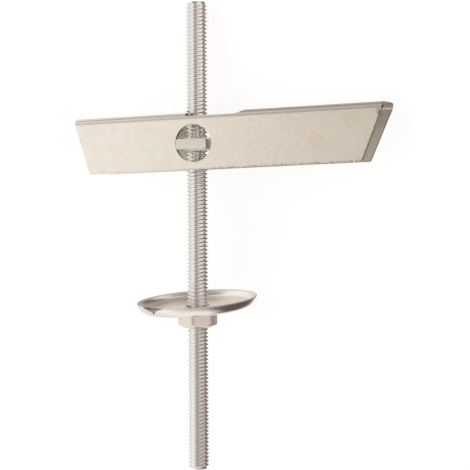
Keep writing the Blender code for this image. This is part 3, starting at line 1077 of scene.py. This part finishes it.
def make_floor():
    """Lay a plain white floor that shows white to the camera but keeps the anchor's shadow."""
    half = 3.0
    grey = (0.34, 0.34, 0.34, 1.0)
    lift_to_white = 0.83
    corners = [(-half, -half, 0.0), (half, -half, 0.0), (half, half, 0.0), (-half, half, 0.0)]
    mesh = bpy.data.meshes.new("floor")
    mesh.from_pydata(corners, [], [(0, 1, 2, 3)])
    material = bpy.data.materials.new("white_floor")
    material.use_nodes = True
    tree = material.node_tree
    tree.nodes.clear()
    rays = add_node(tree, "ShaderNodeLightPath")
    paint = add_node(tree, "ShaderNodeBsdfDiffuse", {"Color": grey})
    lift = add_node(
        tree, "ShaderNodeEmission", {"Color": (1.0, 1.0, 1.0, 1.0), "Strength": lift_to_white})
    lit = add_node(
        tree, "ShaderNodeAddShader", {0: paint.outputs["BSDF"], 1: lift.outputs["Emission"]})
    seen = add_node(
        tree, "ShaderNodeMixShader",
        {0: rays.outputs["Is Camera Ray"], 1: paint.outputs["BSDF"], 2: lit.outputs["Shader"]})
    through = add_node(tree, "ShaderNodeBsdfTransparent")
    shown = add_node(
        tree, "ShaderNodeMixShader",
        {0: rays.outputs["Is Glossy Ray"], 1: seen.outputs["Shader"],
         2: through.outputs["BSDF"]})
    add_node(tree, "ShaderNodeOutputMaterial", {"Surface": shown.outputs["Shader"]})
    mesh.materials.append(material)
    floor = bpy.data.objects.new("floor", mesh)
    bpy.context.scene.collection.objects.link(floor)


def make_surroundings(scene):
    """Give the metal a light tent to mirror, which the camera itself sees as plain white.

    The direction of a ray is turned into the upright frame. A ramp over its angle round the rod
    starts behind the anchor and runs on over the left, the front and the right: bright on the
    left, olive before the anchor, pinkish to the right and dark behind that. Three more ramps hold
    for what is overhead, for what is right above and for what is below, and the floor's one tone
    lies under those.
    """
    world = bpy.data.worlds.new("light_tent")
    world.use_nodes = True
    tree = world.node_tree
    tree.nodes.clear()
    turned = add_node(
        tree, "ShaderNodeMapping",
        {"Vector": add_node(tree, "ShaderNodeTexCoord").outputs["Generated"],
         "Rotation": tuple(TURN_UPRIGHT.to_euler("XYZ"))})
    parts = add_node(tree, "ShaderNodeSeparateXYZ", {"Vector": turned.outputs["Vector"]})
    right, back, up = parts.outputs
    round_rod = math_node(tree, "ARCTAN2", right, product(tree, back, -1.0))
    around = math_node(tree, "MULTIPLY_ADD", round_rod, 1.0 / FULL_TURN, 0.5)
    tent = ramp(tree, around, LEVEL_TONES)
    layers = (
        (OVERHEAD_TONES, OVERHEAD_SPAN),
        (ZENITH_TONES, ZENITH_SPAN),
        (UNDER_TONES, UNDER_SPAN),
    )
    for tones, span in layers:
        tent = blend(tree, spread(tree, up, *span), tent, ramp(tree, around, tones))
    tent = blend(tree, spread(tree, up, *FLOOR_SPAN), tent, FLOOR_TONE)
    rays = add_node(tree, "ShaderNodeLightPath")
    seen = blend(tree, rays.outputs["Is Camera Ray"], tent, (1.0, 1.0, 1.0))
    light = add_node(tree, "ShaderNodeBackground", {"Color": seen, "Strength": 1.0})
    add_node(tree, "ShaderNodeOutputWorld", {"Surface": light.outputs["Background"]})
    scene.world = world


def make_camera(settings):
    """Stand the camera where the photograph was taken from, in the upright frame.

    It stands at its distance from the aimed point, in the direction of the azimuth and the
    elevation, and its side and top are turned by the roll.
    """
    level = math.cos(settings.elevation)
    towards = np.array([
        math.sin(settings.azimuth) * level,
        -math.cos(settings.azimuth) * level,
        math.sin(settings.elevation)])
    side = np.array([math.cos(settings.azimuth), math.sin(settings.azimuth), 0.0])
    top = np.cross(towards, side)
    rolled_side = side * math.cos(settings.roll) + top * math.sin(settings.roll)
    rolled_top = top * math.cos(settings.roll) - side * math.sin(settings.roll)
    aim = np.array([settings.aim_across, 0.0, -settings.aim_below])
    place = to_row(aim + towards * settings.distance)
    turn = np.array([rolled_side, rolled_top, towards]) @ AXES

    data = bpy.data.cameras.new("photo_camera")
    data.sensor_width = SENSOR_WIDTH
    data.lens = settings.lens
    data.clip_start = 0.01
    data.clip_end = 20.0
    camera = bpy.data.objects.new("photo_camera", data)
    bpy.context.scene.collection.objects.link(camera)
    camera.matrix_world = Matrix.Translation(place) @ Matrix(turn.T.tolist()).to_4x4()
    return camera


# The sidebar, and the classes that Blender is told of

STEPS = (
    ("anchor.threaded_rod", "anchor_rod"),
    ("anchor.pivot_bar", "anchor_bar"),
    ("anchor.toggle_wing", "anchor_wing"),
    ("anchor.cup_washer", "anchor_washer"),
    ("anchor.hex_nut", "anchor_nut"),
    ("anchor.studio", "anchor_studio"),
)


class ANCHOR_PT_sidebar(bpy.types.Panel):
    """List the anchor's pieces in the sidebar"""

    bl_idname = "ANCHOR_PT_sidebar"
    bl_label = "Toggle Anchor"
    bl_space_type = "VIEW_3D"
    bl_region_type = "UI"
    bl_category = "Anchor"

    def draw(self, context):
        """Show each operator with the settings that it reads."""
        for operator, name in STEPS:
            box = self.layout.box()
            box.operator(operator)
            settings = getattr(context.scene, name)
            for setting in type(settings).__annotations__:
                box.prop(settings, setting)


CLASSES = (
    *SETTINGS.values(),
    ANCHOR_OT_threaded_rod,
    ANCHOR_OT_pivot_bar,
    ANCHOR_OT_toggle_wing,
    ANCHOR_OT_cup_washer,
    ANCHOR_OT_hex_nut,
    ANCHOR_OT_studio,
    ANCHOR_PT_sidebar,
)


def register():
    """Register the classes and hang the settings on the scene."""
    for item in CLASSES:
        bpy.utils.register_class(item)
    for name, group in SETTINGS.items():
        setattr(bpy.types.Scene, name, PointerProperty(type=group))


def unregister():
    """Take the settings and classes away again."""
    for name in SETTINGS:
        delattr(bpy.types.Scene, name)
    for item in reversed(CLASSES):
        bpy.utils.unregister_class(item)


# The run

def clear_start_objects():
    """Remove the objects that a new file starts with."""
    kept = set(frame["nodes"].values()) | set(frame["bodies"].values())
    for item in list(bpy.data.objects):
        if item not in kept:
            bpy.data.objects.remove(item, do_unlink=True)


def main():
    """Build every piece in order."""
    register()
    clear_start_objects()
    bpy.ops.anchor.threaded_rod()
    bpy.ops.anchor.pivot_bar()
    bpy.ops.anchor.toggle_wing()
    bpy.ops.anchor.cup_washer()
    bpy.ops.anchor.hex_nut()
    bpy.ops.anchor.studio()


if __name__ == "__main__":
    main()
